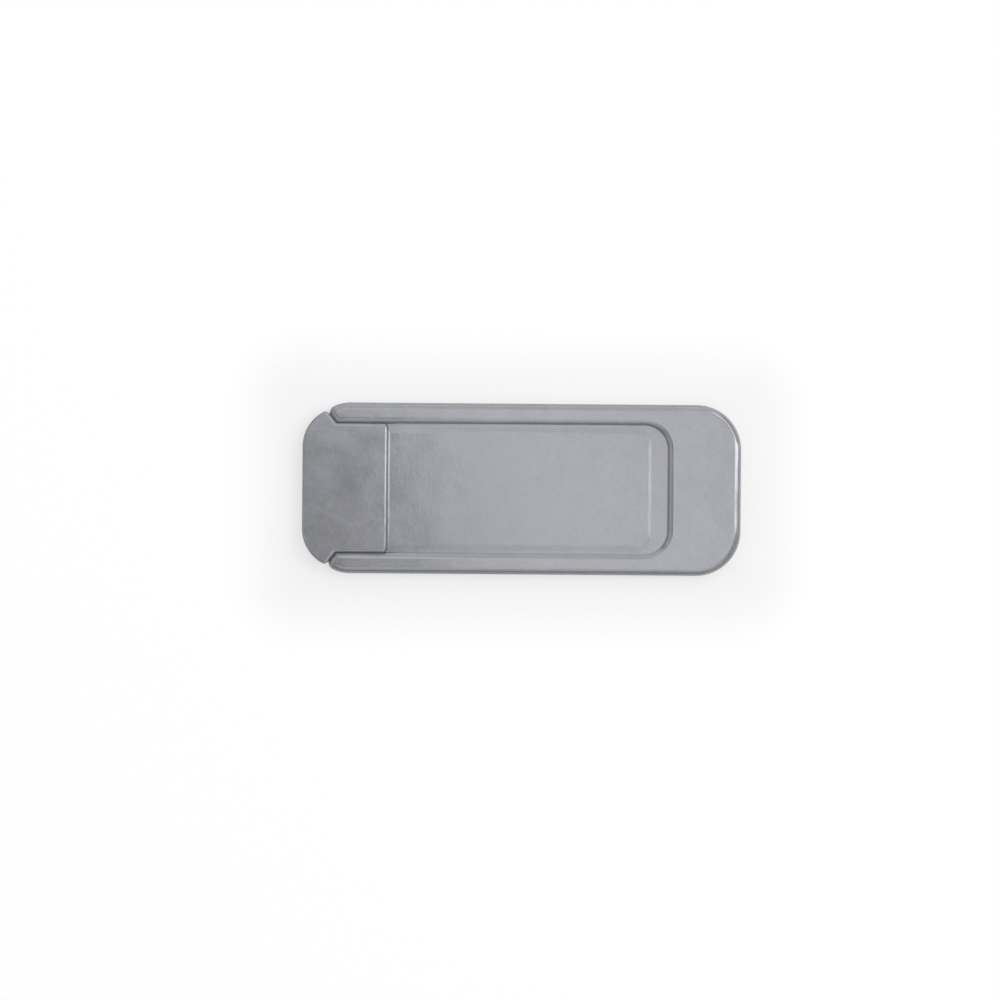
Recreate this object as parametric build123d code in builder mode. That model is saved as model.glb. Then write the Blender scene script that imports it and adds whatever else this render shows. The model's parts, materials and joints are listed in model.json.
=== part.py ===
from build123d import *
import os
from math import asin, atan, cos, degrees, radians, tan

# Sliding cover for a laptop's camera, drawn closed. X runs along the slide with the thumb grip at -X,
# Y runs across it, and Z points away from the screen. The tape's sticky face lies at Z = 0.
# All sizes are in millimetres and degrees.

# Overall size, closed
cover_length = 41.0
cover_width = 16.0

# Tape on the frame's back
tape_thickness = 0.15
tape_margin = 0.25

# Frame: two grooved arms joined by an end bar. The round on its front edges is deeper than the front lip, so
# the lip thins to an edge over the shutter.
arm_width = 2.1
end_bar_length = 7.0
end_corner_radius = 4.2
window_corner_radius = 2.1
back_lip_thickness = 0.3
front_lip_thickness = 0.27
frame_edge_round = 0.7

# Tips of the arms: the outer side curves in, and the end is cut on a slant
tip_setback = 3.1
tip_slant = 38.0
tip_curve_length = 1.35
tip_curve_radius = 3.75
tip_round_margin = 0.03

# Shutter: a thin plate that runs in the grooves
plate_thickness = 0.45
plate_overlap = 0.8
plate_root = 1.0
plate_end_reach = 3.45
plate_end_radius = 1.8
shoulder_gap = 0.7
shoulder_length = 1.9
shoulder_round = 0.3

# Raised field of the shutter, seen through the window
field_rise = 0.05
field_side_gap = 0.2
field_end_gap = 1.25
field_slope_width = 0.6
field_corner_radius = 1.0

# Thumb grip of the shutter, with an ear at each side that closes the corner past the arm's tip
grip_length = 7.93
grip_corner_radius = 3.65
grip_rise = 0.16
grip_edge_round = 0.25
grip_foot_round = 0.21
step_corner_radius = 0.4
foot_share = 0.9
ear_inset = 0.5
ear_root_round = 0.15
ear_round_margin = 0.12

# Clearances: in the groove, and from the edges of the front lips to the grip
slide_clearance = 0.1
end_clearance = 0.3
neck_clearance = 0.06
tip_clearance = 0.07

# Two corners closer than this stand at the same place
same_place = 0.001

# Heights, from the sticky face up
groove_height = plate_thickness + 2 * slide_clearance
frame_bottom = tape_thickness
groove_bottom = frame_bottom + back_lip_thickness
frame_top = groove_bottom + groove_height + front_lip_thickness
plate_bottom = groove_bottom + slide_clearance
plate_top = plate_bottom + plate_thickness
field_top = plate_top + field_rise
grip_top = frame_top + grip_rise

# Places along the slide
grip_end_x = -cover_length / 2
frame_end_x = cover_length / 2
window_end_x = frame_end_x - end_bar_length
plate_end_x = window_end_x + plate_end_reach
groove_end_x = plate_end_x + end_clearance
grip_step_x = grip_end_x + grip_length
plate_start_x = grip_step_x - plate_root
shoulder_x = grip_step_x + shoulder_gap
field_start_x = grip_step_x - field_slope_width
field_end_x = window_end_x - field_end_gap
tip_x = grip_end_x + tip_setback
tip_curve_x = tip_x + tip_curve_length - tip_curve_radius

# The edge of a front lip lies this far back from the frame's plan, because the groove cuts the round there
lip_setback = frame_edge_round * (1 - cos(asin(1 - front_lip_thickness / frame_edge_round)))

# Half widths across the slide
window_half = cover_width / 2 - arm_width
plate_half = window_half + plate_overlap
groove_half = plate_half + slide_clearance
neck_half = window_half + lip_setback - neck_clearance
field_half = neck_half - field_side_gap
grip_half = cover_width / 2 - ear_inset

# The grip's ears follow the lips on the slanted tips of the arms at the tip clearance
slant_run = tan(radians(tip_slant))
notch_x = tip_x + lip_setback / cos(radians(tip_slant))
ear_x = notch_x - tip_clearance / cos(radians(tip_slant)) - (neck_half - window_half) * slant_run

# Rounds that depend on the edges beside them
tip_round = frame_edge_round + tip_round_margin
ear_tip_round = grip_edge_round + ear_round_margin
step_wall = grip_top - grip_edge_round - field_top
step_foot_round = min(grip_foot_round, foot_share * step_wall)
field_slope = degrees(atan(field_slope_width / field_rise))


def slanted_mouth(root_x, half, end_x):
    """Strip of one half width that ends at end_x and flares out on the tips' slant past root_x."""
    flare_x = root_x - cover_width * slant_run
    flare_half = half + cover_width
    with BuildSketch() as mouth:
        with BuildLine():
            Polyline(
                (end_x, half),
                (root_x, half),
                (flare_x, flare_half),
                (flare_x, -flare_half),
                (root_x, -half),
                (end_x, -half),
                close=True,
            )
        make_face()
    return mouth.sketch


def corners_at(sketch, x):
    """Corners of a sketch that stand at one place along the slide."""
    return sketch.vertices().filter_by(lambda corner: abs(corner.X - x) < same_place)


def frame_plan():
    """Plan of the frame: a rounded plate with a window that is open between the arms' slanted tips."""
    with BuildSketch() as window:
        add(slanted_mouth(tip_x, window_half, window_end_x))
        fillet(corners_at(window, window_end_x), window_corner_radius)
    with BuildSketch() as plan:
        with Locations(((tip_curve_x + frame_end_x) / 2, 0)):
            Rectangle(frame_end_x - tip_curve_x, cover_width)
        fillet(corners_at(plan, tip_curve_x), tip_curve_radius)
        fillet(corners_at(plan, frame_end_x), end_corner_radius)
        add(window.sketch, mode=Mode.SUBTRACT)
        outer_tips = plan.vertices().group_by(Axis.X)[0]
        fillet(outer_tips, tip_round)
    return plan.sketch


# Frame: the plan raised to its height, rounded along every front edge, then grooved
with BuildPart() as frame:
    with BuildSketch(Plane.XY.offset(frame_bottom)):
        add(frame_plan())
    extrude(amount=frame_top - frame_bottom)
    front_face = frame.faces().sort_by(Axis.Z)[-1]
    fillet(front_face.edges(), frame_edge_round)
    # One cut makes the groove in each arm, the pocket under the end bar and the seats of the grip's ears, which
    # go as far under the slanted tips as the edges of their lips
    with BuildSketch(Plane.XY.offset(groove_bottom)) as groove:
        with Locations(((grip_end_x + groove_end_x) / 2, 0)):
            Rectangle(groove_end_x - grip_end_x, 2 * groove_half)
        fillet(corners_at(groove, groove_end_x), plate_end_radius + slide_clearance)
        add(slanted_mouth(notch_x, window_half, window_end_x))
    extrude(amount=groove_height, mode=Mode.SUBTRACT)
frame.part.label = "frame"

# Shutter: plate, raised field and thumb grip, moulded as one piece
with BuildPart() as shutter:
    with BuildSketch(Plane.XY.offset(plate_bottom)) as plate:
        with BuildLine():
            Polyline(
                (plate_start_x, neck_half),
                (shoulder_x, neck_half),
                (shoulder_x + shoulder_length, plate_half),
                (plate_end_x, plate_half),
                (plate_end_x, -plate_half),
                (shoulder_x + shoulder_length, -plate_half),
                (shoulder_x, -neck_half),
                (plate_start_x, -neck_half),
                close=True,
            )
        make_face()
        fillet(corners_at(plate, plate_end_x), plate_end_radius)
        fillet(corners_at(plate, shoulder_x), shoulder_round)
        fillet(corners_at(plate, shoulder_x + shoulder_length), shoulder_round)
    extrude(amount=plate_thickness)
    with BuildSketch(Plane.XY.offset(plate_top)) as field:
        with Locations(((field_start_x + field_end_x) / 2, 0)):
            Rectangle(field_end_x - field_start_x, 2 * field_half)
        fillet(corners_at(field, field_end_x), field_corner_radius + field_slope_width)
    extrude(amount=field_rise, taper=field_slope)
    with BuildSketch(Plane.XY.offset(plate_bottom)) as grip:
        with Locations(((grip_end_x + grip_step_x) / 2, 0)):
            Rectangle(grip_length, 2 * grip_half)
        fillet(corners_at(grip, grip_end_x), grip_corner_radius)
        add(slanted_mouth(ear_x, neck_half, grip_step_x), mode=Mode.INTERSECT)
        fillet(corners_at(grip, ear_x), ear_root_round)
        ear_tips = grip.vertices().sort_by(Axis.Y)
        fillet([ear_tips[0], ear_tips[-1]], ear_tip_round)
        fillet(corners_at(grip, grip_step_x), step_corner_radius)
    extrude(amount=grip_top - plate_bottom)
    grip_face = shutter.faces().sort_by(Axis.Z)[-1]
    fillet(grip_face.edges(), grip_edge_round)
    # The foot of the grip's step runs over the plate, up the field's slopes and across the field, and its ends
    # go on round the step's corners
    step_face = shutter.faces().filter_by(Axis.X).sort_by(Axis.Z)[-1]
    foot = step_face.edges().filter_by(Axis.Z, reverse=True).filter_by_position(Axis.Z, plate_top, field_top)
    fillet(foot, step_foot_round)
shutter.part.label = "shutter"

# Adhesive tape, die-cut to the frame's plan
with BuildPart() as adhesive_tape:
    with BuildSketch():
        add(frame_plan())
        offset(amount=-tape_margin)
    extrude(amount=tape_thickness)
adhesive_tape.part.label = "adhesive_tape"

os.makedirs("parts", exist_ok=True)
for piece in (frame, shutter, adhesive_tape):
    export_step(piece.part, f"parts/{piece.part.label}.step")
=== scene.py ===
"""Dressed model of a stick-on webcam cover with a sliding shutter.

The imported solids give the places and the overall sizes. Each piece is built again as one fine closed skin
that keeps its solid's form, so that its rounds catch the light smoothly, and gets a finish of shader nodes.
"""
import json
import logging
import math
from dataclasses import dataclass, field
from enum import Enum
from typing import Any

import bmesh
import bpy
import numpy as np
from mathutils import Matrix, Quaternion, Vector


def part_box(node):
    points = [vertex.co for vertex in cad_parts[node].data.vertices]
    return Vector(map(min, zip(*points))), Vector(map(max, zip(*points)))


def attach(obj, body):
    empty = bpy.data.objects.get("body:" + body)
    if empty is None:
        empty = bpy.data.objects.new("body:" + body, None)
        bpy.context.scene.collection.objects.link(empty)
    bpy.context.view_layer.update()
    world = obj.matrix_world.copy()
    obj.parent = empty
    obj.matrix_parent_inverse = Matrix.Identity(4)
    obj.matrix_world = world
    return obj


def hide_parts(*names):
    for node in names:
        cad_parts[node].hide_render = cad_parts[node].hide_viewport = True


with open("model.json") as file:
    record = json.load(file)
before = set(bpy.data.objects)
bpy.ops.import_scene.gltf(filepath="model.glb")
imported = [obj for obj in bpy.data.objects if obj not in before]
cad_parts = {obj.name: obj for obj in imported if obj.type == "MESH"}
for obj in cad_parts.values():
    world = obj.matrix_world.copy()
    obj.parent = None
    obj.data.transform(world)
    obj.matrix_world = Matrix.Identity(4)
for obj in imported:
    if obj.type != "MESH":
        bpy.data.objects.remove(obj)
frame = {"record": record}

MM = 0.001
QUARTER_TURN = math.pi / 2
# Plan points times this lie on the other side of the cover's middle line
PLAN_FLIP = np.array([1.0, -1.0])
# Sockets of the Mix node, whose names repeat: its two numbers, its two colours and what it makes of each
NUMBER_A = 2
NUMBER_B = 3
COLOUR_A = 6
COLOUR_B = 7
MIXED_NUMBER = 0
MIXED_COLOUR = 2
Array = np.ndarray
Point = Array | tuple[float, float]
log = logging.getLogger("sliding_cover")


def linear(hex_colour: str) -> tuple[float, float, float, float]:
    """Turns an sRGB hex colour into linear red, green, blue and alpha.

    By the sRGB curve, a coded value c is c / 12.92 up to 0.04045, and ((c + 0.055) / 1.055) ^ 2.4 above it.

    Args:
        hex_colour: Six hex digits, two for each of red, green and blue.

    Returns:
        The linear colour, opaque.
    """
    coded = np.array([int(hex_colour[i:i + 2], 16) for i in (0, 2, 4)]) / 255
    values = np.where(coded <= 0.04045, coded / 12.92, ((coded + 0.055) / 1.055) ** 2.4)
    return (*values.tolist(), 1.0)


def add_node(
    tree: bpy.types.NodeTree, kind: str, inputs: dict[Any, Any] | None = None, **settings: Any
) -> bpy.types.Node:
    """Adds one node with its settings and links.

    Args:
        tree: Node tree that gets the node.
        kind: Blender's name of the node's type.
        inputs: Input socket names or places, each with a value or with the output socket that feeds it.
        **settings: Attributes of the node.

    Returns:
        The new node.
    """
    node = tree.nodes.new(kind)
    for name, value in settings.items():
        setattr(node, name, value)
    for name, value in (inputs or {}).items():
        if isinstance(value, bpy.types.NodeSocket):
            tree.links.new(value, node.inputs[name])
        else:
            node.inputs[name].default_value = value
    return node


def new_material(name: str) -> tuple[bpy.types.Material, bpy.types.NodeTree]:
    """Makes an empty node material.

    Args:
        name: Name of the material.

    Returns:
        The material and its node tree.
    """
    material = bpy.data.materials.new(name)
    material.use_nodes = True
    material.node_tree.nodes.clear()
    return material, material.node_tree


class Outside(Enum):
    """Side of a straight path, looking along it, on which the piece's outside lies."""

    LEFT = 1.0
    RIGHT = -1.0


class Bend(Enum):
    """Whether a path bends round the piece, or the piece bends round the path."""

    CONVEX = 1.0
    HOLLOW = -1.0


@dataclass(frozen=True)
class Path:
    """Run of plan points, each with the piece's outward normal there."""

    points: Array
    normals: Array

    @classmethod
    def line(
        cls,
        start: Point,
        end: Point,
        shares: Array,
        outside: Outside,
        mitres: tuple[Array | None, Array | None] = (None, None),
    ) -> "Path":
        """Makes a straight run: the start plus each share of the way to the end.

        Where an end is a sharp corner, the normals lean evenly from the run's own normal to the corner's
        mitre, so that a profile carried along the run meets its neighbour there.

        Args:
            start: First plan point.
            end: Last plan point.
            shares: Rising numbers from 0 to 1.
            outside: Side on which the outside lies.
            mitres: Mitre vectors at the start and the end, or None where there is no sharp corner.

        Returns:
            The run.
        """
        start, end = np.asarray(start), np.asarray(end)
        way = end - start
        normal = outside.value * np.array([-way[1], way[0]]) / np.linalg.norm(way)
        first, last = (normal if mitre is None else mitre for mitre in mitres)
        shares = np.asarray(shares)[:, None]
        return cls(start + shares * way, (1 - shares) * first + shares * last)

    @classmethod
    def arc(
        cls, centre: Point, radius: float, first: float, last: float, count: int, bend: Bend = Bend.CONVEX
    ) -> "Path":
        """Makes part of a circle: the centre plus the radius times (cos a, sin a).

        Args:
            centre: The circle's centre.
            radius: The circle's radius.
            first: Angle of the first point.
            last: Angle of the last point.
            count: Number of steps between them.
            bend: Convex if the outside lies away from the centre, hollow if it lies towards it.

        Returns:
            The run.
        """
        angles = np.linspace(first, last, count + 1)
        rays = np.column_stack([np.cos(angles), np.sin(angles)])
        return cls(np.asarray(centre) + radius * rays, bend.value * rays)

    def then(self, *others: "Path") -> "Path":
        """Joins runs end to end.

        Args:
            *others: Runs that follow, each from the last point of the run before, which isn't repeated.

        Returns:
            The joined run.
        """
        points = [self.points] + [other.points[1:] for other in others]
        normals = [self.normals] + [other.normals[1:] for other in others]
        return Path(np.vstack(points), np.vstack(normals))

    def mirrored(self) -> "Path":
        """Returns the run on the other side of the cover's middle line, in the opposite order."""
        return Path(self.points[::-1] * PLAN_FLIP, self.normals[::-1] * PLAN_FLIP)

    def whole(self) -> "Path":
        """Returns the run and then its mirror image."""
        return self.then(self.mirrored())


def steps(count: int) -> Array:
    """Returns even shares from 0 to 1."""
    return np.linspace(0, 1, count + 1)


def held(count: int, margin: float) -> Array:
    """Returns shares from 0 to 1 with narrow outer steps, which keep a flat face flat up to its rounds."""
    return np.concatenate([[0.0], np.linspace(margin, 1 - margin, count - 1), [1.0]])


def carry(profile: Array, path: Path) -> Array:
    """Carries a profile along a path: each point goes in along the normal by its inset, at its height.

    Args:
        profile: Rows of inset and height.
        path: Plan path with outward normals.

    Returns:
        Grid of points, path by profile.
    """
    plan = path.points[:, None, :] - profile[None, :, :1] * path.normals[:, None, :]
    height = np.broadcast_to(profile[None, :, 1:], (*plan.shape[:2], 1))
    return np.concatenate([plan, height], axis=2)


def ruled(first: Array, second: Array, shares: Array) -> Array:
    """Rules straight lines from each point of one row to the same point of another.

    Args:
        first: Points of the first row.
        second: As many points of the second row.
        shares: Places along each line, from 0 to 1.

    Returns:
        Grid of points, row by shares.
    """
    return first[:, None, :] + shares[None, :, None] * (second - first)[:, None, :]


def at_height(plan: Array, height: float) -> Array:
    """Returns plan points lifted to one height."""
    return np.concatenate([plan, np.full((*plan.shape[:-1], 1), height)], axis=-1)


def rounded_edge(levels: list[float], top: float, radius: float, angles: Array) -> Array:
    """Makes the profile of a wall with a rounded top edge.

    The wall goes straight up through the levels. Over it, at angle a of a quarter circle, the inset is
    r (1 - cos a) and the height is top - r (1 - sin a).

    Args:
        levels: Heights on the wall, below the round.
        top: Height of the face at the top.
        radius: Radius of the round.
        angles: Angles on the round, from 0 at the wall to a right angle at the face.

    Returns:
        Rows of inset and height.
    """
    wall = np.column_stack([np.zeros(len(levels)), levels])
    bend = np.column_stack([radius * (1 - np.cos(angles)), top - radius * (1 - np.sin(angles))])
    return np.vstack([wall, bend])


def both_halves(grid: Array) -> Array:
    """Returns a grid that runs to the middle line, and then its mirror image in the opposite order."""
    return np.concatenate([grid, grid[-2::-1] * np.append(PLAN_FLIP, 1.0)])


def smooth_step(share: Array) -> Array:
    """Returns 3 s^2 - 2 s^3 for a share s held between 0 and 1, which starts and ends level."""
    share = np.clip(share, 0, 1)
    return share * share * (3 - 2 * share)


def point_at_distance(start: Array, way: Array, centre: Array, distance: float) -> Array:
    """Finds the far point of a line that lies at a distance from a centre.

    With q from the centre to the line's start and d the unit vector along the line, the point is the start
    plus t d, at the larger root t of |q + t d| = distance.

    Args:
        start: Plan point on the line.
        way: Unit vector along it.
        centre: The centre.
        distance: Distance of the point from it.

    Returns:
        The plan point.
    """
    gap = start - centre
    along = gap @ way
    reach = distance ** 2 - gap @ gap
    return start + (math.sqrt(along * along + reach) - along) * way


@dataclass
class Skin:
    """Closed skin of one piece, gathered from grids of points that meet along their borders."""

    name: str
    grids: list[Array] = field(default_factory=list)
    merge_distance: float = 0.0004 * MM
    sharp_angle: float = math.radians(32)

    def add(self, *grids: Array) -> None:
        """Adds grids of points, rows by columns."""
        self.grids.extend(grids)

    def build(self) -> bpy.types.Object:
        """Makes one mesh of the grids, with shared points merged, faces outward and real corners sharp.

        Returns:
            The piece's object, at the origin.
        """
        points, faces, base = [], [], 0
        for grid in self.grids:
            rows, columns = grid.shape[:2]
            index = base + np.arange(rows * columns).reshape(rows, columns)
            corners = [index[:-1, :-1], index[1:, :-1], index[1:, 1:], index[:-1, 1:]]
            faces.append(np.stack(corners, axis=-1).reshape(-1, 4))
            points.append(grid.reshape(-1, 3))
            base += rows * columns
        mesh = bpy.data.meshes.new(self.name)
        mesh.from_pydata(np.vstack(points).tolist(), [], np.vstack(faces).tolist())
        work = bmesh.new()
        work.from_mesh(mesh)
        bmesh.ops.remove_doubles(work, verts=work.verts, dist=self.merge_distance)
        bmesh.ops.recalc_face_normals(work, faces=work.faces)
        open_edges = sum(not edge.is_manifold for edge in work.edges)
        work.to_mesh(mesh)
        work.free()
        if open_edges:
            log.warning("%s has %d open edges", self.name, open_edges)
        mesh.shade_smooth()
        mesh.set_sharp_from_angle(angle=self.sharp_angle)
        piece = bpy.data.objects.new(self.name, mesh)
        bpy.context.scene.collection.objects.link(piece)
        return piece


@dataclass(frozen=True)
class Cover:
    """Overall sizes of the closed cover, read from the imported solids."""

    left: float
    right: float
    half_width: float
    tape_bottom: float
    frame_bottom: float
    frame_top: float
    grip_top: float

    @classmethod
    def from_solids(cls) -> "Cover":
        """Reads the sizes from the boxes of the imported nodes.

        Returns:
            The sizes.
        """
        frame_low, frame_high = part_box("frame")
        shutter_low, shutter_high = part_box("shutter")
        tape_low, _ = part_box("adhesive_tape")
        return cls(
            left=shutter_low[0],
            right=frame_high[0],
            half_width=frame_high[1],
            tape_bottom=tape_low[2],
            frame_bottom=frame_low[2],
            frame_top=frame_high[2],
            grip_top=shutter_high[2],
        )


@dataclass(frozen=True)
class MouldedPlastic:
    """Grey ABS with a little metallic pigment, from an etched mould.

    The pigment gives edges and broad faces more shine than plain ABS has. The etching spreads it into a
    satin sheen. The melt's flow leaves faint cloudy patches, thin walls sink a little as they cool, so that
    broad reflections waver, and handling leaves faint scuffs across the slide.
    """

    name: str
    colour: str
    pale_colour: str
    roughness: float = 0.15
    roughness_spread: float = 0.05
    ior: float = 1.54
    pigment: float = 0.25
    cloud_size: float = 2.5 * MM
    cloud_detail: float = 4.0
    cloud_roughness: float = 0.75
    cloud_range: tuple[float, float] = (0.35, 0.65)
    grain_size: float = 0.2 * MM
    grain_detail: float = 1.0
    grain_range: tuple[float, float] = (0.3, 0.7)
    grain_share: float = 0.42
    wave_size: float = 4.0 * MM
    wave_detail: float = 1.0
    wave_height: float = 0.035 * MM
    scuff_size: tuple[float, float, float] = (0.28 * MM, 0.6 * MM, 0.28 * MM)
    scuff_detail: float = 2.0
    scuff_height: float = 0.008 * MM
    scuff_start: float = 0.2
    scuff_least: float = 0.3

    def material(self) -> bpy.types.Material:
        """Builds the node material.

        Cloudy patches and the etched grain mix the two colours and shift the roughness. The real grain,
        about 0.03 mm, is too fine to show, so it is drawn at grain_size. Scuffs are noise drawn out across
        the slide. They have the share scuff_least of their strength where the cloud is below scuff_start,
        and all of it in the palest patches.

        Returns:
            The material.
        """
        material, tree = new_material(self.name)
        place = add_node(tree, "ShaderNodeTexCoord").outputs["Object"]
        flow = add_node(
            tree,
            "ShaderNodeTexNoise",
            {
                "Vector": place,
                "Scale": 1 / self.cloud_size,
                "Detail": self.cloud_detail,
                "Roughness": self.cloud_roughness,
            },
        ).outputs["Fac"]
        grain = add_node(
            tree,
            "ShaderNodeTexNoise",
            {"Vector": place, "Scale": 1 / self.grain_size, "Detail": self.grain_detail},
        ).outputs["Fac"]
        cloud, etched = (
            add_node(
                tree, "ShaderNodeMapRange", {"Value": noise, "From Min": low, "From Max": high}
            ).outputs["Result"]
            for noise, (low, high) in ((flow, self.cloud_range), (grain, self.grain_range))
        )
        tone = add_node(
            tree, "ShaderNodeMix", {"Factor": self.grain_share, NUMBER_A: cloud, NUMBER_B: etched}
        ).outputs[MIXED_NUMBER]
        colour = add_node(
            tree,
            "ShaderNodeMix",
            {"Factor": tone, COLOUR_A: linear(self.colour), COLOUR_B: linear(self.pale_colour)},
            data_type="RGBA",
        ).outputs[MIXED_COLOUR]
        gloss = add_node(
            tree,
            "ShaderNodeMapRange",
            {
                "Value": tone,
                "To Min": self.roughness - self.roughness_spread,
                "To Max": self.roughness + self.roughness_spread,
            },
        ).outputs["Result"]
        wave = add_node(
            tree,
            "ShaderNodeTexNoise",
            {"Vector": place, "Scale": 1 / self.wave_size, "Detail": self.wave_detail},
        ).outputs["Fac"]
        sunk = add_node(
            tree, "ShaderNodeBump", {"Height": wave, "Distance": self.wave_height, "Strength": 1.0}
        ).outputs["Normal"]
        drawn = add_node(
            tree, "ShaderNodeVectorMath", {0: place, 1: self.scuff_size}, operation="DIVIDE"
        ).outputs[0]
        scuff = add_node(
            tree, "ShaderNodeTexNoise", {"Vector": drawn, "Scale": 1.0, "Detail": self.scuff_detail}
        ).outputs["Fac"]
        patch = add_node(
            tree,
            "ShaderNodeMapRange",
            {"Value": cloud, "From Min": self.scuff_start, "To Min": self.scuff_least},
        ).outputs["Result"]
        scuffed = add_node(
            tree,
            "ShaderNodeBump",
            {"Height": scuff, "Distance": self.scuff_height, "Strength": patch, "Normal": sunk},
        ).outputs["Normal"]
        shader = add_node(
            tree,
            "ShaderNodeBsdfPrincipled",
            {
                "Base Color": colour,
                "Metallic": self.pigment,
                "Roughness": gloss,
                "IOR": self.ior,
                "Normal": scuffed,
            },
        )
        add_node(tree, "ShaderNodeOutputMaterial", {"Surface": shader.outputs["BSDF"]})
        return material


@dataclass(frozen=True)
class AcrylicTape:
    """Double-sided acrylic tape: an off-white film with a tacky coat that shines in soft uneven patches."""

    name: str = "acrylic_tape_coated"
    colour: str = "E4E2DA"
    bubble_colour: str = "EFEDE8"
    roughness_range: tuple[float, float] = (0.2, 0.45)
    ior: float = 1.47
    bubble_size: float = 0.9 * MM
    bubble_detail: float = 3.0

    def material(self) -> bpy.types.Material:
        """Builds the node material, with faint pale patches where the coat has lifted.

        Returns:
            The material.
        """
        material, tree = new_material(self.name)
        place = add_node(tree, "ShaderNodeTexCoord").outputs["Object"]
        patches = add_node(
            tree,
            "ShaderNodeTexNoise",
            {"Vector": place, "Scale": 1 / self.bubble_size, "Detail": self.bubble_detail},
        ).outputs["Fac"]
        colour = add_node(
            tree,
            "ShaderNodeMix",
            {"Factor": patches, COLOUR_A: linear(self.colour), COLOUR_B: linear(self.bubble_colour)},
            data_type="RGBA",
        ).outputs[MIXED_COLOUR]
        smooth, rough = self.roughness_range
        gloss = add_node(
            tree, "ShaderNodeMapRange", {"Value": patches, "To Min": smooth, "To Max": rough}
        ).outputs["Result"]
        shader = add_node(
            tree, "ShaderNodeBsdfPrincipled", {"Base Color": colour, "Roughness": gloss, "IOR": self.ior}
        )
        add_node(tree, "ShaderNodeOutputMaterial", {"Surface": shader.outputs["BSDF"]})
        return material


def place_piece(piece: bpy.types.Object, node: str, material: bpy.types.Material) -> bpy.types.Object:
    """Puts a finished piece in the place of its solid, with its finish, on the body that the record gives.

    Args:
        piece: The piece's object.
        node: CAD node that it stands for.
        material: Its finish.

    Returns:
        The piece's object.
    """
    record = frame["record"]
    bodies = {name: body for body, names in record["behaviour"]["bodies"].items() for name in names}
    piece.data.materials.append(material)
    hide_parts(node)
    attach(piece, bodies[node])
    return piece


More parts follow.
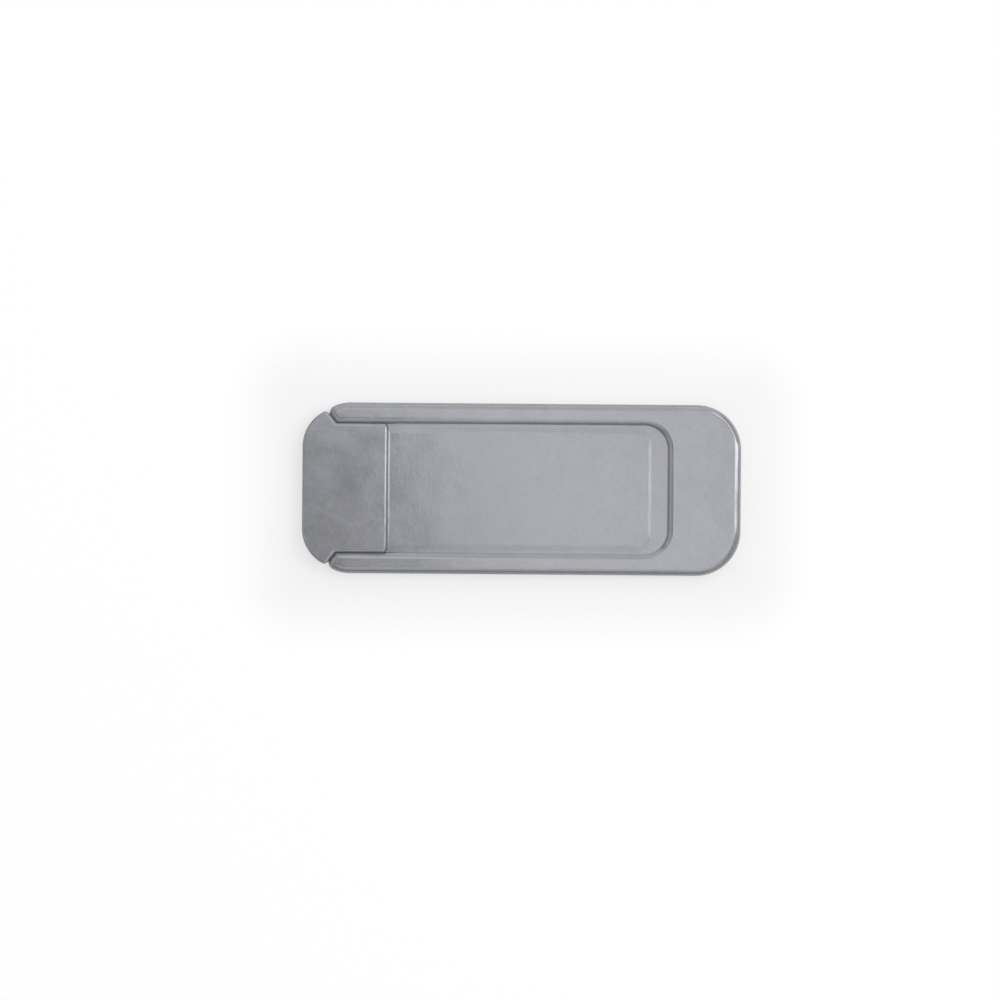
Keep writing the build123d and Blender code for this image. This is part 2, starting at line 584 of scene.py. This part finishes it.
@dataclass
class FrameMoulding:
    """U of two grooved arms joined by an end bar, moulded in one piece with rounded front edges."""

    cover: Cover
    finish: MouldedPlastic = MouldedPlastic("satin_abs_frame", "84858A", "909196")
    arm_width: float = 2.1 * MM
    end_bar_length: float = 7.0 * MM
    end_corner_radius: float = 4.2 * MM
    window_corner_radius: float = 2.1 * MM
    edge_round: float = 0.7 * MM
    back_lip: float = 0.3 * MM
    groove_height: float = 0.65 * MM
    groove_depth: float = 0.9 * MM
    pocket_length: float = 3.75 * MM
    pocket_corner_radius: float = 1.9 * MM
    tip_setback: float = 3.1 * MM
    tip_slant: float = math.radians(38)
    tip_curve_length: float = 1.35 * MM
    tip_curve_radius: float = 3.75 * MM
    tip_round: float = 0.73 * MM
    tip_steps: tuple[int, int] = (8, 16)
    slant_steps: tuple[int, int] = (4, 20)
    arm_steps: int = 44
    corner_steps: int = 22
    end_steps: int = 14
    round_steps: tuple[int, int] = (3, 14)
    front_steps: int = 8
    front_margin: float = 0.06
    back_steps: int = 4
    groove_steps: int = 3

    def __post_init__(self) -> None:
        """Works out the places that the edges share."""
        self.window_half = self.cover.half_width - self.arm_width
        self.groove_half = self.window_half + self.groove_depth
        self.window_end = self.cover.right - self.end_bar_length
        self.groove_end = self.window_end + self.pocket_length
        self.groove_bottom = self.cover.frame_bottom + self.back_lip
        self.groove_top = self.groove_bottom + self.groove_height
        self.tip_root = np.array([self.cover.left + self.tip_setback, self.window_half])
        # Directions at the slanted end: along it to the outside, and out of it
        self.slant_way = np.array([-math.sin(self.tip_slant), math.cos(self.tip_slant)])
        self.slant_normal = -np.array([math.cos(self.tip_slant), math.sin(self.tip_slant)])
        self.slant_angle = math.pi + self.tip_slant
        side_x = self.tip_root[0] + self.tip_curve_length
        self.side_centre = np.array([side_x, self.cover.half_width - self.tip_curve_radius])
        self.tip_centre = self.find_tip_centre()
        touch = self.tip_centre - self.side_centre
        self.touch_angle = math.atan2(touch[1], touch[0])
        # The root's mitre reaches one unit out of the slanted end and one unit out of the window's side
        self.root_mitre = -np.array([(1 - math.sin(self.tip_slant)) / math.cos(self.tip_slant), 1.0])
        # The groove cuts the round on the inner edges, so the front lip starts at the round's angle a whose
        # height is the groove's, sin a = 1 - lip / r, and that far back from the plan
        self.lip_angle = math.asin(1 - (self.cover.frame_top - self.groove_top) / self.edge_round)
        self.lip_setback = self.edge_round * (1 - math.cos(self.lip_angle))
        self.seat_x = self.tip_root[0] + self.lip_setback / math.cos(self.tip_slant)

    def find_tip_centre(self) -> Array:
        """Finds the centre of the round at the tip's outer corner.

        The round touches the slanted end and the curved side, so its centre is one radius r inside the
        slant, and R - r from the centre of the side's circle of radius R.

        Returns:
            The centre's plan point.
        """
        start = self.tip_root - self.tip_round * self.slant_normal
        reach = self.tip_curve_radius - self.tip_round
        return point_at_distance(start, self.slant_way, self.side_centre, reach)

    def seam_angles(self, insets: Array) -> Array:
        """Finds where the groove and the ear's seat come out on the tip's round, at some insets.

        The contour at inset d is a circle of radius q = r - d about the tip's centre. The seat's wall lies p
        from that centre, r less the lip's setback, and meets the circle acos(p / q) before the slanted end's
        angle. The groove's wall lies g below the centre, and meets it asin(g / q) past half a turn. The
        first one counts.

        Args:
            insets: Distances inside the frame's plan, no more than the lip's setback.

        Returns:
            Angle about the tip's centre for each.
        """
        reach = self.tip_round - insets
        seat = self.slant_angle - np.arccos(np.minimum((self.tip_round - self.lip_setback) / reach, 1))
        wall = math.pi + np.arcsin((self.tip_centre[1] - self.groove_half) / reach)
        return np.minimum(seat, wall)

    def end_run(self, half: float, end_x: float, corner: float, bend: Bend) -> Path:
        """Follows a rounded corner by the end bar, and the edge after it as far as the middle line.

        Args:
            half: Half width between the sides that lead to the corners.
            end_x: Place of the edge along the slide.
            corner: Radius of the corner.
            bend: Convex on the frame's outside, hollow on its inside.

        Returns:
            The run.
        """
        outside = Outside.LEFT if bend is Bend.CONVEX else Outside.RIGHT
        turn = Path.arc((end_x - corner, half - corner), corner, QUARTER_TURN, 0, self.corner_steps, bend)
        return turn.then(Path.line((end_x, half - corner), (end_x, 0), steps(self.end_steps), outside))

    def outer_edge(self) -> Path:
        """Follows the outside of one arm from the groove's mouth to the middle of the end bar.

        Returns:
            The edge.
        """
        half, right, corner = self.cover.half_width, self.cover.right, self.end_corner_radius
        mouth_angle = self.seam_angles(np.zeros(1))[0]
        tip_steps, side_steps = self.tip_steps
        tip = Path.arc(self.tip_centre, self.tip_round, mouth_angle, self.touch_angle, tip_steps)
        side = Path.arc(self.side_centre, self.tip_curve_radius, self.touch_angle, QUARTER_TURN, side_steps)
        arm = Path.line(side.points[-1], (right - corner, half), steps(self.arm_steps), Outside.LEFT)
        return tip.then(side, arm, self.end_run(half, right, corner, Bend.CONVEX))

    def inner_edge(self, inset: float = 0.0) -> Path:
        """Follows the slanted end and the window's side from the groove's mouth to the middle line.

        Args:
            inset: Distance inside the frame's plan at which the edge is cut by the groove's mouth.

        Returns:
            The edge.
        """
        half, end_x, corner = self.window_half, self.window_end, self.window_corner_radius
        root, mitre = self.tip_root, self.root_mitre
        mouth_steps, slant_steps = self.slant_steps
        mouth_angle = self.seam_angles(np.array([inset]))[0]
        tip = Path.arc(self.tip_centre, self.tip_round, mouth_angle, self.slant_angle, mouth_steps)
        slant = Path.line(tip.points[-1], root, steps(slant_steps), Outside.RIGHT, (None, mitre))
        arm = Path.line(root, (end_x - corner, half), steps(self.arm_steps), Outside.RIGHT, (mitre, None))
        return tip.then(slant, arm, self.end_run(half, end_x, corner, Bend.HOLLOW))

    def outer_skin(self, profile: Array) -> Array:
        """Carries the outer wall and round along one arm, with the tip's seam in its place at each height.

        Args:
            profile: Rows of inset and height.

        Returns:
            Grid of points, path by profile.
        """
        skin = carry(profile, self.outer_edge())
        seams = self.seam_angles(np.minimum(profile[:, 0], self.lip_setback))
        angles = seams + steps(self.tip_steps[0])[:, None] * (self.touch_angle - seams)
        rays = np.stack([np.cos(angles), np.sin(angles)], axis=-1)
        skin[:len(angles), :, :2] = self.tip_centre + (self.tip_round - profile[:, :1]) * rays
        return skin

    def groove_wall(self, mouth: Array) -> Array:
        """Makes the groove's wall from its mouth to the middle of the pocket under the end bar.

        The first column is the mouth, on the outer skin. The second is the corner between the ear's seat and
        the groove, at the heights where the mouth lies outside the groove. These two take the place of two
        steps on the wall, so that it has as many columns as the lips beside it.

        Args:
            mouth: Points of the mouth, from the groove's floor up to the lip.

        Returns:
            Grid of points, path by height.
        """
        half, end_x, corner = self.groove_half, self.groove_end, self.pocket_corner_radius
        start, root = (mouth[-1, 0], half), (self.tip_root[0], half)
        tip = Path.line(start, root, steps(sum(self.slant_steps) - 2), Outside.RIGHT)
        arm = Path.line(root, (end_x - corner, half), steps(self.arm_steps), Outside.RIGHT)
        heights = np.column_stack([np.zeros(len(mouth)), mouth[:, 2]])
        wall = carry(heights, tip.then(arm, self.end_run(half, end_x, corner, Bend.HOLLOW)))
        seat_corner = wall[0].copy()
        seat_corner[:, 0] = self.seat_x - (half - self.window_half) * math.tan(self.tip_slant)
        beside = mouth[:, 1:2] > half + Skin.merge_distance
        return np.concatenate([[mouth, np.where(beside, seat_corner, mouth)], wall])

    def build(self) -> bpy.types.Object:
        """Builds the frame's skin: walls and rounds carried along the edges, and flat faces between them.

        Returns:
            The frame's object.
        """
        bottom, low = self.cover.frame_bottom, self.groove_bottom
        top, bend = self.cover.frame_top, self.edge_round
        below = np.linspace(0, self.lip_angle, self.round_steps[0] + 1)
        above = np.linspace(self.lip_angle, QUARTER_TURN, self.round_steps[1] + 1)
        outer_profile = rounded_edge([bottom, low], top, bend, np.concatenate([below, above[1:]]))
        lip_profile = rounded_edge([], top, bend, above)
        outer_half = self.outer_skin(outer_profile)
        outer_skin = both_halves(outer_half)
        front_lip = both_halves(carry(lip_profile, self.inner_edge(self.lip_setback)))
        back_lip = both_halves(carry(np.array([[0.0, bottom], [0.0, low]]), self.inner_edge()))
        # The mouth runs up the outer skin from the groove's floor to its ceiling
        groove_wall = both_halves(self.groove_wall(outer_half[0, 1:2 + len(below)]))
        front_face = ruled(outer_skin[:, -1], front_lip[:, -1], held(self.front_steps, self.front_margin))
        back_face = ruled(outer_skin[:, 0], back_lip[:, 0], steps(self.back_steps))
        floor = ruled(back_lip[:, -1], groove_wall[:, 0], steps(self.groove_steps))
        ceiling = ruled(front_lip[:, 0], groove_wall[:, -1], steps(self.groove_steps))
        skin = Skin("frame_moulding")
        skin.add(outer_skin, front_lip, back_lip, groove_wall, front_face, back_face, floor, ceiling)
        return skin.build()

    def dress(self) -> bpy.types.Object:
        """Builds the frame in its finish, in the place of its solid."""
        return place_piece(self.build(), "frame", self.finish.material())


@dataclass
class ShutterMoulding:
    """Thin plate with a softly raised field and a thick thumb grip with two ears, moulded in one piece."""

    cover: Cover
    rails: FrameMoulding
    finish: MouldedPlastic = MouldedPlastic("satin_abs_shutter", "828388", "8E8F94")
    grip_length: float = 7.93 * MM
    grip_corner_radius: float = 3.65 * MM
    grip_edge_round: float = 0.25 * MM
    grip_foot_round: float = 0.21 * MM
    foot_share: float = 0.9
    step_corner_radius: float = 0.4 * MM
    ear_inset: float = 0.5 * MM
    ear_tip_round: float = 0.37 * MM
    ear_root_round: float = 0.15 * MM
    # These two slits are drawn narrower than between the solids, 0.07 and 0.06 mm, so that they look as fine
    # as the real ones
    tip_clearance: float = 0.045 * MM
    neck_clearance: float = 0.03 * MM
    slide_clearance: float = 0.1 * MM
    plate_thickness: float = 0.45 * MM
    plate_reach: float = 3.45 * MM
    plate_end_radius: float = 1.8 * MM
    shoulder_gap: float = 0.7 * MM
    shoulder_length: float = 1.9 * MM
    shoulder_round: float = 0.3 * MM
    field_rise: float = 0.05 * MM
    field_side_gap: float = 0.2 * MM
    field_end_gap: float = 1.25 * MM
    field_slope: float = 0.6 * MM
    field_corner_radius: float = 1.6 * MM
    across_steps: int = 76
    even_share: float = 0.35
    corner_steps: int = 24
    arc_steps: int = 12
    round_steps: int = 12
    foot_steps: int = 8
    ear_steps: int = 6
    neck_steps: int = 20
    blend_steps: int = 10
    blend_margin: float = 0.03
    shoulder_steps: tuple[int, int] = (6, 8)
    plate_rows: tuple[int, int, int] = (36, 36, 8)

    def __post_init__(self) -> None:
        """Works out the places that the edges share."""
        rails, slant = self.rails, self.rails.tip_slant
        self.neck_half = rails.window_half + rails.lip_setback - self.neck_clearance
        self.plate_half = rails.groove_half - self.slide_clearance
        self.grip_half = self.cover.half_width - self.ear_inset
        self.plate_bottom = rails.groove_bottom + self.slide_clearance
        self.plate_top = self.plate_bottom + self.plate_thickness
        self.plate_end = rails.window_end + self.plate_reach
        self.step_x = self.cover.left + self.grip_length
        self.turn_x = self.step_x - self.step_corner_radius
        self.shoulder_x = self.step_x + self.shoulder_gap
        self.field_half = self.neck_half - self.field_side_gap
        self.field_end = rails.window_end - self.field_end_gap
        # The ear's slant follows the lip on the frame's slanted end
        flare = (self.neck_half - rails.window_half) * math.tan(slant)
        ear_x = rails.seat_x - self.tip_clearance / math.cos(slant) - flare
        self.ear_root = np.array([ear_x, self.neck_half])
        corner = self.grip_corner_radius
        self.corner_centre = np.array([self.cover.left + corner, self.grip_half - corner])
        self.round_angles = np.linspace(0, QUARTER_TURN, self.round_steps + 1)
        step_wall = self.cover.grip_top - self.grip_edge_round - self.plate_top - self.field_rise
        self.foot_round = min(self.grip_foot_round, self.foot_share * step_wall)
        # Shares across the shutter, closer together towards both sides, where the field slopes down
        even = steps(self.across_steps)
        crowded = 0.5 - 0.5 * np.cos(math.pi * even)
        self.across = self.even_share * even + (1 - self.even_share) * crowded

    def find_ear_tip_centre(self) -> Array:
        """Finds the centre of an ear tip's round, which touches the grip's corner and the ear's slant.

        As at the frame's tip, it is one radius r inside the slant, and R - r from the centre of the corner's
        circle of radius R.

        Returns:
            The centre's plan point.
        """
        start = self.ear_root + self.ear_tip_round * self.rails.slant_normal
        reach = self.grip_corner_radius - self.ear_tip_round
        return point_at_distance(start, self.rails.slant_way, self.corner_centre, reach)

    def grip_side(self) -> Path:
        """Follows one side of the grip, from its end round the ear and along the neck to the step's corner.

        Returns:
            The side.
        """
        slant, bend, count = self.rails.tip_slant, self.ear_root_round, self.arc_steps
        tip_centre = self.find_ear_tip_centre()
        touch = tip_centre - self.corner_centre
        touch_angle = math.atan2(touch[1], touch[0])
        root_centre = self.ear_root - bend * self.rails.root_mitre
        radius, corner_steps = self.grip_corner_radius, self.corner_steps
        corner = Path.arc(self.corner_centre, radius, math.pi, touch_angle, corner_steps)
        tip = Path.arc(tip_centre, self.ear_tip_round, touch_angle, slant, count)
        root = Path.arc(root_centre, bend, math.pi + slant, math.pi + QUARTER_TURN, count, Bend.HOLLOW)
        ear = Path.line(tip.points[-1], root.points[0], steps(self.ear_steps), Outside.LEFT)
        neck_end = (self.turn_x, self.neck_half)
        neck = Path.line(root.points[-1], neck_end, steps(self.neck_steps), Outside.LEFT)
        return corner.then(tip, ear, root, neck)

    def step_turn(self) -> Path:
        """Follows the step's rounded corner, from the neck's side to the step."""
        centre = (self.turn_x, self.neck_half - self.step_corner_radius)
        return Path.arc(centre, self.step_corner_radius, QUARTER_TURN, 0, self.arc_steps)

    def step_edge(self) -> Path:
        """Follows the step between grip and plate, from one neck side round both corners to the other.

        Returns:
            The edge.
        """
        turn = self.step_turn()
        straight = Path.line(turn.points[-1], turn.mirrored().points[0], self.across, Outside.LEFT)
        return turn.then(straight, turn.mirrored())

    def grip_ring(self) -> Path:
        """Follows the grip's side walls and its end, from the neck on one side to the neck on the other.

        Returns:
            The ring.
        """
        side = self.grip_side()
        end = Path.line(side.mirrored().points[-1], side.points[0], self.across, Outside.LEFT)
        return side.mirrored().then(end, side)

    def grip_face(self, inset: float, height: float) -> Array:
        """Makes a face of the grip: rows across it between the same place on both sides.

        Args:
            inset: Distance inside the grip's plan.
            height: Height of the face.

        Returns:
            Grid of points.
        """
        side = self.grip_side().then(self.step_turn())
        border = side.points - inset * side.normals
        return ruled(at_height(border * PLAN_FLIP, height), at_height(border, height), self.across)

    def plate_side(self) -> Path:
        """Follows one side of the plate, from the shoulder to its rounded end corner.

        A round of radius r at each bend of the shoulder takes r tan(turn / 2) off the runs beside it. The
        rows are close together where the field ends.

        Returns:
            The side.
        """
        run = np.array([self.shoulder_length, self.plate_half - self.neck_half])
        turn = math.atan2(run[1], run[0])
        trim = self.shoulder_round * math.tan(turn / 2)
        foot = np.array([self.shoulder_x, self.neck_half])
        head = foot + run
        bend, corner = self.shoulder_round, self.plate_end_radius
        bend_steps, slope_steps = self.shoulder_steps
        hollow_centre = foot + np.array([-trim, bend])
        convex_centre = head + np.array([trim, -bend])
        hollow = Path.arc(hollow_centre, bend, -QUARTER_TURN, turn - QUARTER_TURN, bend_steps, Bend.HOLLOW)
        convex = Path.arc(convex_centre, bend, QUARTER_TURN + turn, QUARTER_TURN, bend_steps)
        slope = Path.line(hollow.points[-1], convex.points[0], steps(slope_steps), Outside.LEFT)
        stops = (
            self.field_end - self.field_corner_radius,
            self.field_end + self.field_slope,
            self.plate_end - corner,
        )
        runs, start = [], convex.points[-1]
        for stop, count in zip(stops, self.plate_rows):
            runs.append(Path.line(start, (stop, self.plate_half), steps(count), Outside.LEFT))
            start = (stop, self.plate_half)
        end_centre = (self.plate_end - corner, self.plate_half - corner)
        end_turn = Path.arc(end_centre, corner, QUARTER_TURN, 0, self.arc_steps)
        return hollow.then(slope, convex, *runs, end_turn)

    def field_height(self, plan: Array) -> Array:
        """Height of the raised field over the plate.

        The depth d of a point inside the field's outline, a rectangle with rounded corners at its far end,
        gives the height: rise times the smooth step of d over the slope's width.

        Args:
            plan: Plan points.

        Returns:
            The height at each.
        """
        corner = self.field_corner_radius
        past = plan[..., 0] - (self.field_end - corner)
        beside = np.abs(plan[..., 1]) - (self.field_half - corner)
        away = np.hypot(np.maximum(past, 0), np.maximum(beside, 0))
        depth = corner - (away + np.minimum(np.maximum(past, beside), 0))
        return self.field_rise * smooth_step(depth / self.field_slope)

    def plate_plan(self, border: Array) -> Array:
        """Makes the plate's plan grid, from a border along the step to the plate's end.

        The first rows blend from the border to a straight row at the shoulder. Each later row runs across
        the plate at one place along its side, with the border's own shares of the half width.

        Args:
            border: Plan points along the step.

        Returns:
            Grid of plan points.
        """
        side = self.plate_side().points
        share = border[:, 1] / self.neck_half
        along = np.broadcast_to(side[:, :1], (len(side), len(share)))
        rows = np.stack([along, side[:, 1:] * share], axis=-1)
        blend = ruled(border, rows[0], held(self.blend_steps, self.blend_margin)).transpose(1, 0, 2)
        return np.concatenate([blend, rows[1:]])

    def step_skin(self, foot: Array) -> Array:
        """Makes the step from the plate up to the grip's face.

        At angle a of the foot's quarter circle of size f, the point is f (1 - sin a) in front of the step
        and f (1 - cos a) above the plate or its field. The wall and the grip's round follow.

        Args:
            foot: Size of the foot at each place along the step.

        Returns:
            Grid of points.
        """
        edge = self.step_edge()
        angle = np.linspace(0, QUARTER_TURN, self.foot_steps + 1)
        out = foot[:, None] * (1 - np.sin(angle))
        up = foot[:, None] * (1 - np.cos(angle))
        plan = edge.points[:, None, :] + out[..., None] * edge.normals[:, None, :]
        height = self.plate_top + self.field_height(plan) + up
        lower = np.concatenate([plan, height[..., None]], axis=-1)
        upper = carry(rounded_edge([], self.cover.grip_top, self.grip_edge_round, self.round_angles), edge)
        return np.concatenate([lower, upper], axis=1)

    def build(self) -> bpy.types.Object:
        """Builds the shutter's skin: the grip's walls, round and faces, the step, and the plate.

        Returns:
            The shutter's object.
        """
        cover, bend, edge = self.cover, self.grip_edge_round, self.step_edge()
        levels = [self.plate_bottom, self.plate_top]
        grip_skin = carry(rounded_edge(levels, cover.grip_top, bend, self.round_angles), self.grip_ring())
        # The foot fades to nothing round the step's corners, where it would stand outside the neck
        foot = self.foot_round * np.clip(edge.normals[:, 0], 0, 1)
        plan = self.plate_plan(edge.points + foot[:, None] * edge.normals)
        front = np.concatenate([plan, (self.plate_top + self.field_height(plan))[..., None]], axis=-1)
        back = at_height(self.plate_plan(edge.points), self.plate_bottom)
        skin = Skin("shutter_moulding")
        skin.add(grip_skin, self.grip_face(bend, cover.grip_top), self.grip_face(0.0, self.plate_bottom))
        skin.add(self.step_skin(foot), front, back)
        skin.add(ruled(front[-1], back[-1], steps(1)))
        skin.add(*(ruled(front[:, border], back[:, border], steps(1)) for border in (0, -1)))
        return skin.build()

    def dress(self) -> bpy.types.Object:
        """Builds the shutter in its finish, in the place of its solid."""
        return place_piece(self.build(), "shutter", self.finish.material())


@dataclass
class AdhesiveTape:
    """Double-sided tape on the frame's back, die-cut to the frame's plan."""

    cover: Cover
    rails: FrameMoulding
    finish: AcrylicTape = AcrylicTape()
    margin: float = 0.25 * MM
    face_steps: int = 4

    def build(self) -> bpy.types.Object:
        """Builds the tape's skin: cut edges carried along the frame's edges, and two faces between them.

        Returns:
            The tape's object.
        """
        cut = np.array([[self.margin, self.cover.tape_bottom], [self.margin, self.cover.frame_bottom]])
        outer = carry(cut, self.rails.outer_edge().whole())
        inner = carry(cut, self.rails.inner_edge().whole())
        skin = Skin("adhesive_tape_film")
        skin.add(outer, inner)
        skin.add(*(ruled(outer[:, side], inner[:, side], steps(self.face_steps)) for side in (0, 1)))
        return skin.build()

    def dress(self) -> bpy.types.Object:
        """Builds the tape in its finish, in the place of its solid."""
        return place_piece(self.build(), "adhesive_tape", self.finish.material())


@dataclass(frozen=True)
class Softbox:
    """Rectangular studio lamp with an even glow. Its size is its width and its height, in metres."""

    name: str
    place: tuple[float, float, float]
    size: tuple[float, float]
    radiance: float
    aim: tuple[float, float, float] = (0.0, 0.0, 0.0)
    turn: float = 0.0

    def build(self) -> None:
        """Hangs the lamp at its place, facing its aim and turned about that line.

        The power is pi times the area times the radiance.
        """
        lamp = bpy.data.lights.new(self.name, "AREA")
        lamp.shape = "RECTANGLE"
        lamp.size, lamp.size_y = self.size
        lamp.energy = math.pi * math.prod(self.size) * self.radiance
        holder = bpy.data.objects.new(self.name, lamp)
        holder.location = self.place
        facing = (Vector(self.place) - Vector(self.aim)).to_track_quat("Z", "Y")
        holder.rotation_euler = (facing @ Quaternion((0.0, 0.0, 1.0), self.turn)).to_euler()
        bpy.context.scene.collection.objects.link(holder)


@dataclass
class Studio:
    """White paper table under soft lamps in a dim tent, with a camera that looks straight down.

    The panels overhead give the flat faces their slow change of tone, the lamps at the right draw the light
    lines along the edges, and those at the back, left and front fill the rounds. The tent is dimmest round
    the hole for the camera.
    """

    cover: Cover
    floor_half: float = 2.0
    floor_drop: float = 0.02 * MM
    paper_colour: str = "F5F5F6"
    glow_reach: float = 8.0 * MM
    # Glow beside the cover, below far_glow: painted shade that darkens the paper round the cover
    near_glow_painted_shade: float = 0.86
    far_glow: float = 1.0
    near_share: float = 0.7
    far_share: float = 0.85
    tent_colour: str = "FFFFFF"
    tent_strength: float = 0.13
    hole_strength: float = 0.08
    hole_tilt: float = math.radians(14)
    hole_edge: tuple[float, float] = (0.25, 0.5)
    image_side: int = 1000
    pixel_size: float = 0.0936 * MM
    cover_pixel: tuple[float, float] = (521.85, 489.1)
    focus_height: float = 0.7 * MM
    lens: float = 75.0
    sensor: float = 36.0
    roll: float = math.radians(0.45)
    clip_start: float = 10 * MM
    lamps: tuple[Softbox, ...] = (
        Softbox(
            "overhead_panel",
            place=(0.011, 0.016, 0.45),
            size=(0.075, 0.12),
            radiance=0.55,
            aim=(0.011, 0.016, 0.0),
            turn=math.radians(30),
        ),
        Softbox(
            "wide_panel", place=(0.062, 0.01, 0.5), size=(0.186, 0.52), radiance=1.62, aim=(0.062, 0.01, 0.0)
        ),
        Softbox(
            "corner_panel",
            place=(-0.091, 0.164, 0.5),
            size=(0.12, 0.28),
            radiance=1.7,
            aim=(-0.091, 0.164, 0.0),
        ),
        Softbox("inner_panel", place=(0.138, 0.0, 0.48), size=(0.16, 0.07), radiance=0.8),
        Softbox("side_softbox", place=(0.303, 0.03, 0.302), size=(0.07, 0.42), radiance=6.3),
        Softbox("end_strip", place=(0.249, 0.174, 0.304), size=(0.28, 0.11), radiance=4.5),
        Softbox("back_panel", place=(0.0, 0.4, 0.446), size=(0.8, 0.3), radiance=0.8),
        Softbox("back_strip", place=(0.0, 0.52, 0.17), size=(0.9, 0.32), radiance=1.3),
        Softbox("left_panel", place=(-0.42, 0.0, 0.34), size=(0.6, 0.4), radiance=0.8),
        Softbox("front_panel", place=(0.05, -0.3, 0.38), size=(0.5, 0.35), radiance=1.0),
    )

    def build_floor(self) -> None:
        """Lays the paper, just under the tape."""
        half, level = self.floor_half, -self.floor_drop
        corners = np.array([[-half, -half], [half, -half], [half, half], [-half, half]])
        mesh = bpy.data.meshes.new("paper_table")
        mesh.from_pydata(at_height(corners, level).tolist(), [], [[0, 1, 2, 3]])
        table = bpy.data.objects.new("paper_table", mesh)
        bpy.context.scene.collection.objects.link(table)
        mesh.materials.append(self.paper())

    def paper(self) -> bpy.types.Material:
        """Builds matt white paper that keeps a soft shadow beside the cover, deepened by painted shade, and
        is plain white away from it.

        The camera and reflections see the paper partly as a glow. The glow is dimmer near the cover, which
        is painted shade added to the real shadow in the matt part. Both the glow and its share grow with the
        smooth step of the distance outside the cover's plan box over glow_reach. That distance is the length
        of max(|p| - corner, 0) for a point p, with a third size too large for height to count.

        Returns:
            The material.
        """
        material, tree = new_material("matt_white_paper")
        rays = add_node(tree, "ShaderNodeLightPath").outputs
        seen = rays["Is Camera Ray"]
        for ray in ("Is Glossy Ray", "Is Transmission Ray"):
            seen = add_node(tree, "ShaderNodeMath", {0: seen, 1: rays[ray]}, operation="MAXIMUM").outputs[0]
        vector = add_node(tree, "ShaderNodeTexCoord").outputs["Object"]
        corner = (self.cover.right, self.cover.half_width, self.floor_half)
        for operation, value in (("ABSOLUTE", None), ("SUBTRACT", corner), ("MAXIMUM", (0.0, 0.0, 0.0))):
            inputs = {0: vector} if value is None else {0: vector, 1: value}
            vector = add_node(tree, "ShaderNodeVectorMath", inputs, operation=operation).outputs[0]
        outside = add_node(tree, "ShaderNodeVectorMath", {0: vector}, operation="LENGTH").outputs["Value"]
        # The glow dims towards the cover: painted shade beside it, on top of the real shadow in the matt
        # part
        glow, share = (
            add_node(
                tree,
                "ShaderNodeMapRange",
                {"Value": outside, "From Max": self.glow_reach, "To Min": near, "To Max": far},
                interpolation_type="SMOOTHSTEP",
            ).outputs["Result"]
            for near, far in ((self.near_glow_painted_shade, self.far_glow), (self.near_share, self.far_share))
        )
        share = add_node(tree, "ShaderNodeMath", {0: seen, 1: share}, operation="MULTIPLY").outputs[0]
        matt = add_node(tree, "ShaderNodeBsdfDiffuse", {"Color": linear(self.paper_colour)}).outputs[0]
        even = add_node(tree, "ShaderNodeEmission", {"Strength": glow}).outputs[0]
        mix = add_node(tree, "ShaderNodeMixShader", {0: share, 1: matt, 2: even}).outputs[0]
        add_node(tree, "ShaderNodeOutputMaterial", {"Surface": mix})
        return material

    def build_tent(self) -> None:
        """Sets the tent's light: dim round the camera's hole, rising to even soft light away from it.

        The hole lies hole_tilt off the vertical, towards the grip. A direction's distance from the hole is
        that between the two unit vectors, and the light rises between the two distances of hole_edge.
        """
        world = bpy.data.worlds.new("light_tent")
        world.use_nodes = True
        tree = world.node_tree
        tree.nodes.clear()
        way = add_node(tree, "ShaderNodeTexCoord").outputs["Generated"]
        hole = (-math.sin(self.hole_tilt), 0.0, math.cos(self.hole_tilt))
        away = add_node(tree, "ShaderNodeVectorMath", {0: way, 1: hole}, operation="DISTANCE")
        inner, outer = self.hole_edge
        strength = add_node(
            tree,
            "ShaderNodeMapRange",
            {
                "Value": away.outputs["Value"],
                "From Min": inner,
                "From Max": outer,
                "To Min": self.hole_strength,
                "To Max": self.tent_strength,
            },
            interpolation_type="SMOOTHSTEP",
        ).outputs["Result"]
        tent = add_node(
            tree, "ShaderNodeBackground", {"Color": linear(self.tent_colour), "Strength": strength}
        )
        add_node(tree, "ShaderNodeOutputWorld", {"Surface": tent.outputs[0]})
        bpy.context.scene.world = world

    def build_camera(self) -> None:
        """Places the camera straight above, so that the cover's middle falls on its pixel.

        At focus_height, the picture's side is image_side times pixel_size, and the lens needs lens / sensor
        times that as its distance. The way from the cover's middle to the picture's turns with the roll.
        """
        away = (self.image_side / 2 - np.array(self.cover_pixel)) * self.pixel_size
        data = bpy.data.cameras.new("overhead_camera")
        data.lens, data.sensor_width = self.lens, self.sensor
        data.clip_start = self.clip_start
        camera = bpy.data.objects.new("overhead_camera", data)
        distance = self.lens / self.sensor * self.image_side * self.pixel_size
        turned = np.array([
            away[0] * math.cos(self.roll) + away[1] * math.sin(self.roll),
            away[0] * math.sin(self.roll) - away[1] * math.cos(self.roll),
        ])
        camera.location = (*turned.tolist(), self.focus_height + distance)
        camera.rotation_euler = (0.0, 0.0, self.roll)
        bpy.context.scene.collection.objects.link(camera)
        bpy.context.scene.camera = camera

    def build(self) -> None:
        """Sets up the floor, the light and the camera."""
        self.build_floor()
        self.build_tent()
        for lamp in self.lamps:
            lamp.build()
        self.build_camera()
        bpy.context.scene.view_settings.view_transform = "Standard"


def main() -> None:
    logging.basicConfig(level=logging.INFO, format="%(name)s: %(message)s")
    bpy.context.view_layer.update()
    cover = Cover.from_solids()
    rails = FrameMoulding(cover)
    for maker in (rails, ShutterMoulding(cover, rails), AdhesiveTape(cover, rails)):
        piece = maker.dress()
        log.info("%s: %d faces", piece.name, len(piece.data.polygons))
    Studio(cover).build()


if __name__ == "__main__":
    main()
